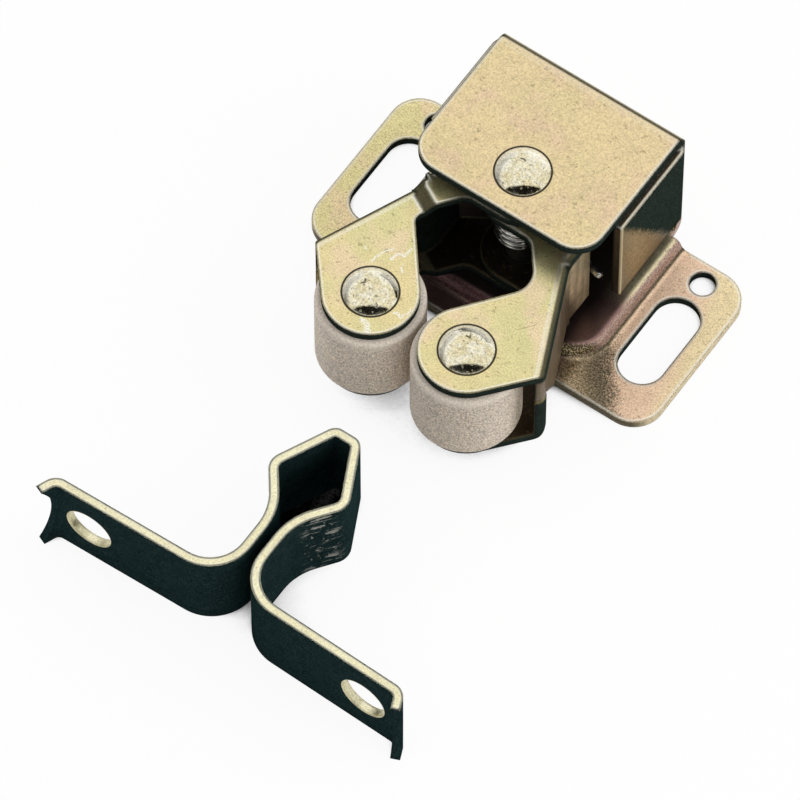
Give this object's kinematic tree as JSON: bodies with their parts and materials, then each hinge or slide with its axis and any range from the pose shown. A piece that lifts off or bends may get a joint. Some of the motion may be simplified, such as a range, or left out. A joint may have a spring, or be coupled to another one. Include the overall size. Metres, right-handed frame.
{
  "type": "double roller catch",
  "caption": "Furniture spring catch: folded plated steel housing with sprung roller arms on one pivot rivet, and a bent strip strike whose arrow head snaps in between the rollers.",
  "frame": {"origin": "pivot axis of the arms, on the plane of the mounting face", "axes": "+Z out of the mounting face along the pivot, -Y towards the rollers and the strike, +X to the right ear"},
  "size_m": [0.039, 0.0585, 0.0184],
  "materials": {
    "plated_sheet": "yellow passivated zinc, satin",
    "plated_arm": "yellow passivated zinc, satin",
    "roller_plastic": "matt moulded plastic",
    "rivet_steel": "plated, bright",
    "spring_wire": "drawn wire",
    "plated_strip": "yellow passivated zinc, satin"
  },
  "bodies": {
    "base": {"housing": "plated_sheet", "pivot_rivet": "rivet_steel", "torsion_spring": "spring_wire", "strike": "plated_strip"},
    "left_arm": {"left_arm": "plated_arm", "left_roller_rivet": "rivet_steel"},
    "right_arm": {"right_arm": "plated_arm", "right_roller_rivet": "rivet_steel"},
    "left_roller": {"left_roller": "roller_plastic"},
    "right_roller": {"right_roller": "roller_plastic"}
  },
  "joints": [
    {"name": "right_arm_swing", "type": "hinge", "parent": "base", "child": "right_arm", "pos_m": [0, 0, 0.008], "axis": [0, 0, 1], "range_deg": [0, 16], "stiffness_Nm_per_rad": 0.038, "springref_deg": -85.94, "deforming": ["torsion_spring"]},
    {"name": "left_arm_swing", "type": "hinge", "parent": "base", "child": "left_arm", "pos_m": [0, 0, 0.008], "axis": [0, 0, -1], "range_deg": [0, 16], "stiffness_Nm_per_rad": 0.038, "springref_deg": -85.94, "deforming": ["torsion_spring"]},
    {"name": "right_roller_spin", "type": "hinge", "parent": "right_arm", "child": "right_roller", "pos_m": [0.00515, -0.0161, 0.00845], "axis": [0, 0, 1], "continuous": true},
    {"name": "left_roller_spin", "type": "hinge", "parent": "left_arm", "child": "left_roller", "pos_m": [-0.00515, -0.0161, 0.00845], "axis": [0, 0, 1], "continuous": true}
  ]
}
